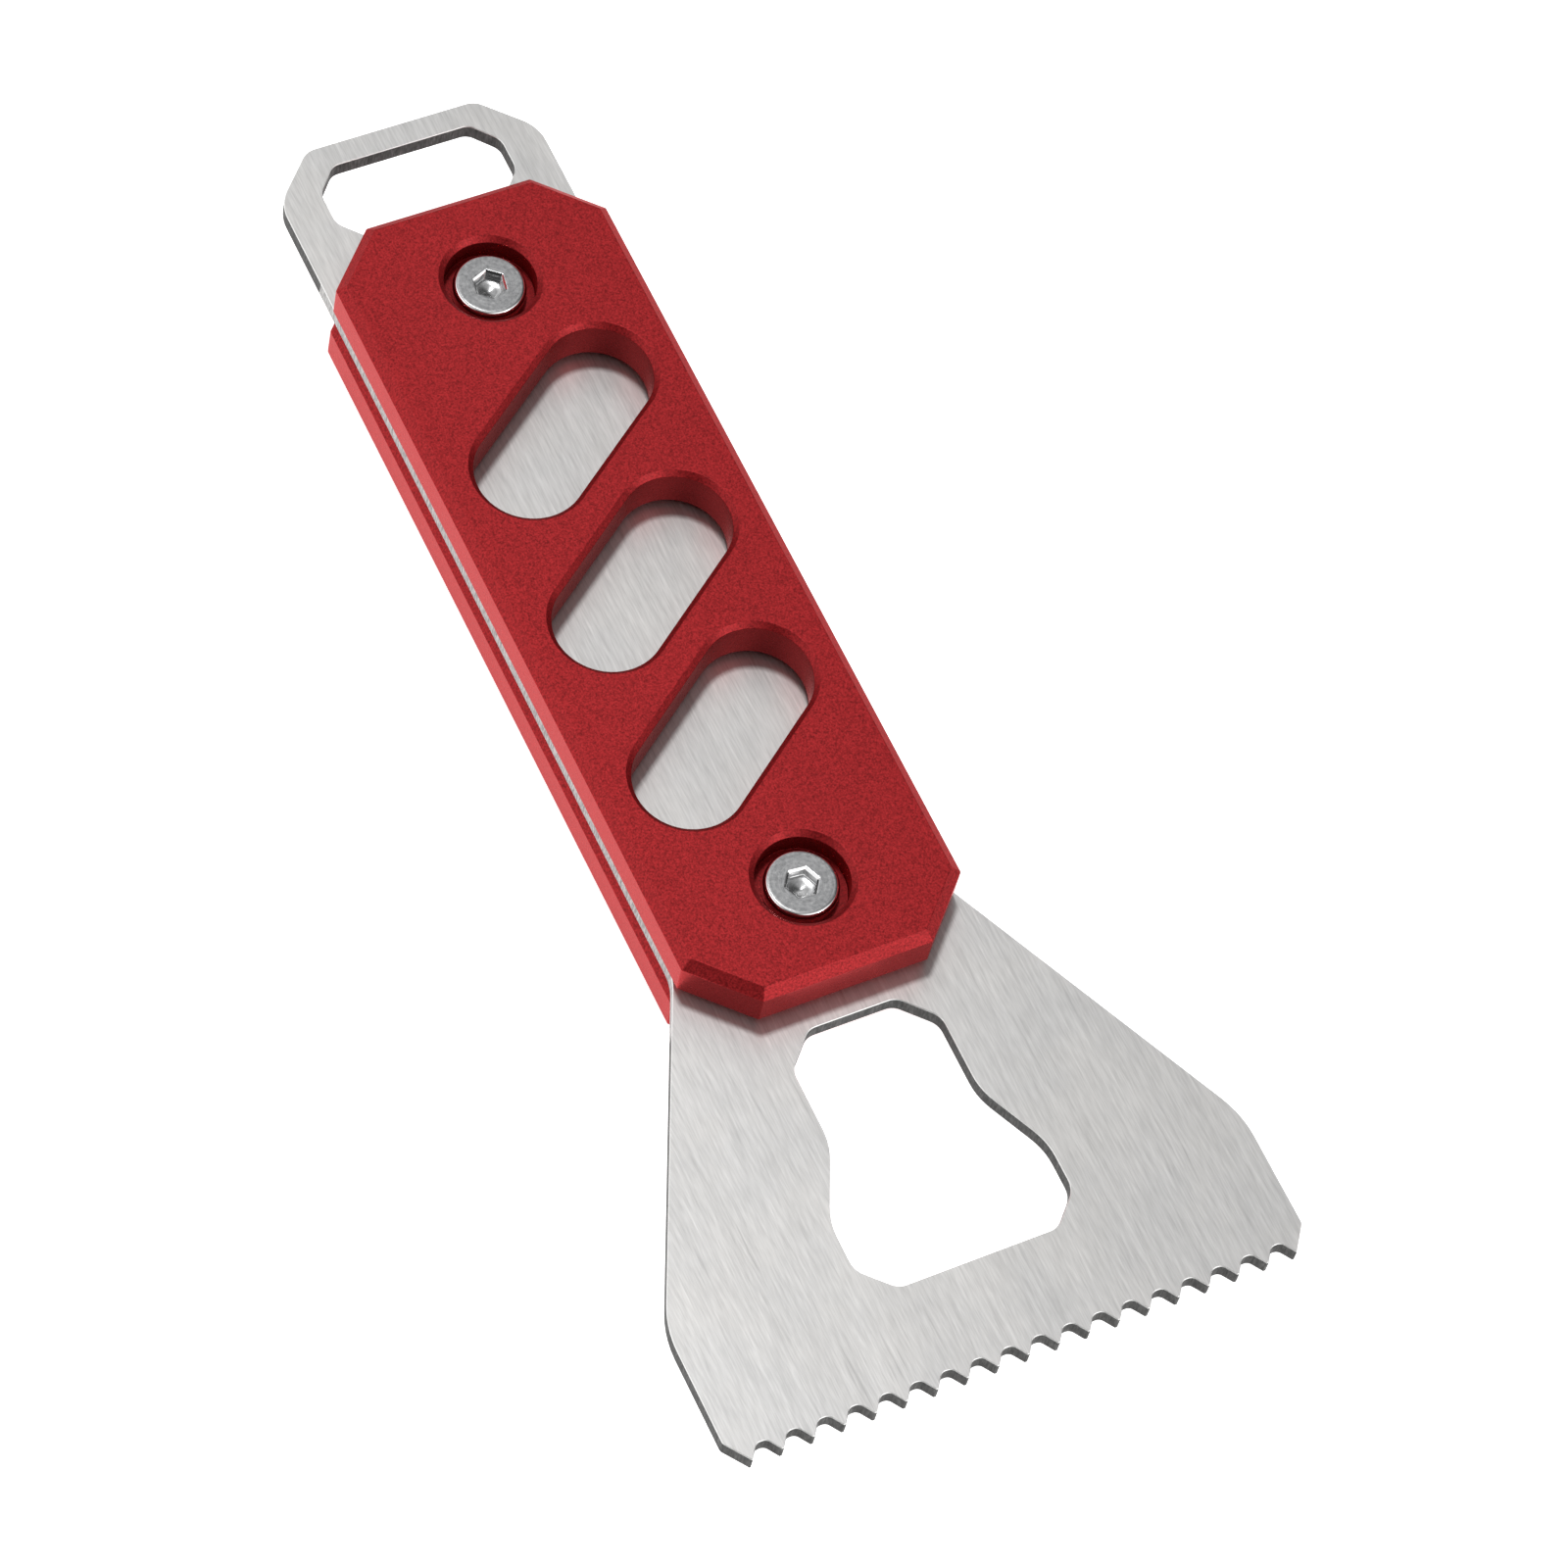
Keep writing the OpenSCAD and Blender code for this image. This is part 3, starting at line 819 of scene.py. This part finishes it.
fasteners = {}
for end, screw_turn, nut_turn in (("blade_end", -6.0, 12.0), ("hang_end", 21.0, 40.0)):
    fasteners["screw_" + end] = turned_piece(
        "screw_%s_turned" % end, screw_turn, cone_depth=0.34, seat_radius=2.1,
        below=thread_rings(), end_z=-SHANK_L, y=SCREWS[end], z=Z_TOP - POCKET_DEPTH + SEAT)
    fasteners["nut_" + end] = turned_piece(
        "nut_%s_turned" % end, nut_turn, cone_depth=0.12, seat_radius=2.62,
        below=BARREL_RINGS, end_z=-0.32, y=SCREWS[end], z=POCKET_DEPTH - SEAT,
        turned_over=True)

# ---------------------------------------------------------------- rides; the CAD parts they stand for are hidden
parts = [(front, "front_scale", "handle_and_blade", "red_anodised"),
         (rear, "rear_scale", "handle_and_blade", "red_anodised"),
         (blade, "blade", "handle_and_blade", "blade_steel")]
for node in ("screw_blade_end", "screw_hang_end", "nut_blade_end", "nut_hang_end"):
    parts.append((fasteners[node], node, node, "plated_screw"))
for obj, node, body, slot in parts:
    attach(obj, body)
    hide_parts(node)

# ---------------------------------------------------------------- floor
FLOOR_HALF, FLOOR_Z = 6.0, -0.00002          # metres


def pale_floor(name):
    """A pale floor that glows a little and can't be seen from below."""
    material, N = new_material(name)
    noise = N.noise(N.position(), scale=14.0, detail=2.0)
    tone = N.ramp(noise, [(0.3, 0.86), (0.7, 0.90)])
    diffuse = N("ShaderNodeBsdfDiffuse", {"Color": tone})
    glow = N("ShaderNodeEmission", {"Color": (1.0, 1.0, 1.0, 1.0), "Strength": 0.80})
    lit = N("ShaderNodeAddShader", {0: diffuse.outputs[0], 1: glow.outputs[0]})
    clear = N("ShaderNodeBsdfTransparent")
    N.output(N("ShaderNodeMixShader", {
        "Fac": N("ShaderNodeNewGeometry").outputs["Backfacing"],
        1: lit.outputs[0], 2: clear.outputs[0]}))
    return material


floor_material = pale_floor("pale_floor")
floor_mesh = bpy.data.meshes.new("studio_floor")
floor_mesh.from_pydata([(x * FLOOR_HALF, y * FLOOR_HALF, FLOOR_Z)
                        for x, y in ((-1, -1), (1, -1), (1, 1), (-1, 1))], [], [(0, 1, 2, 3)])
floor_mesh.materials.append(floor_material)
link("studio_floor", floor_mesh)

# ---------------------------------------------------------------- light
AMBIENT, DARKEST = 0.45, 0.03                # even light all round, and the least anywhere

scene.world = bpy.data.worlds.new("studio")
sky = Nodes(scene.world)
sky_direction = sky("ShaderNodeVectorMath",
                    {0: sky("ShaderNodeTexCoord").outputs["Generated"]},
                    operation="NORMALIZE").outputs[0]


def lobe(direction, inner, outer, amount):
    """A soft round patch on the studio walls: full within inner degrees, none past outer."""
    centre = tuple(Vector(direction).normalized())
    facing = sky("ShaderNodeVectorMath", {0: sky_direction, 1: centre},
                 operation="DOT_PRODUCT").outputs["Value"]
    return sky("ShaderNodeMapRange", {
        "Value": facing, "From Min": math.cos(math.radians(outer)),
        "From Max": math.cos(math.radians(inner)), "To Min": 0.0, "To Max": amount},
        interpolation_type="SMOOTHSTEP").outputs[0]


level = lobe((-1.0, 0.40, 0.34), inner=8, outer=55, amount=0.9)
level = sky.add(level, lobe((0.42, -1.0, 0.36), inner=8, outer=50, amount=1.1))
level = sky.add(level, AMBIENT)
level = sky.add(level, lobe((-0.22, -0.10, 1.0), inner=5, outer=20, amount=0.45))
level = sky.sub(level, lobe((-0.64, -0.57, 0.52), inner=10, outer=38, amount=0.42))
level = sky.add(level, lobe((0.22, 0.66, 0.72), inner=4, outer=18, amount=0.55))
level = sky.sub(level, lobe((0.80, 0.30, 0.50), inner=8, outer=42, amount=0.40))
level = sky.math("MAXIMUM", level, DARKEST)
sky.output(sky("ShaderNodeBackground", {"Color": (1.0, 1.0, 1.0, 1.0), "Strength": level}),
           "ShaderNodeOutputWorld")


def sun(name, energy, spread, direction):
    """A sun shining along direction, its disc spread degrees wide."""
    light = bpy.data.lights.new(name, "SUN")
    light.energy = energy
    light.angle = math.radians(spread)
    obj = link(name, light)
    obj.rotation_mode = "QUATERNION"
    obj.rotation_quaternion = Vector(direction).to_track_quat("-Z", "Y")


sun("key", energy=0.8, spread=8.0, direction=(-0.03, -0.31, -1.0))
sun("fill", energy=0.30, spread=14.0, direction=(-0.42, 0.75, -0.50))    # low, from +X -Y

scene.view_settings.view_transform = "Standard"
scene.view_settings.look = "None"
scene.view_settings.exposure = 0.0
scene.view_settings.gamma = 1.0

# ---------------------------------------------------------------- camera
CAMERA_AT = (-0.20888, -0.27638, 0.57059)    # metres
# the camera's own X, Y and Z axes in the world; it looks along its -Z
CAMERA_AXES = Matrix(((0.89426995, -0.42498372, 0.14025009),
                      (0.30714885, 0.8107666, 0.49831426),
                      (-0.32548554, -0.40254981, 0.85557747)))

lens = bpy.data.cameras.new("camera")
lens.sensor_width = 36.0
lens.sensor_fit = "AUTO"
lens.lens = 142.5587625
lens.clip_start, lens.clip_end = 0.01, 50.0
camera = link("camera", lens)
camera.matrix_world = Matrix.Translation(CAMERA_AT) @ CAMERA_AXES.transposed().to_4x4()
scene.camera = camera
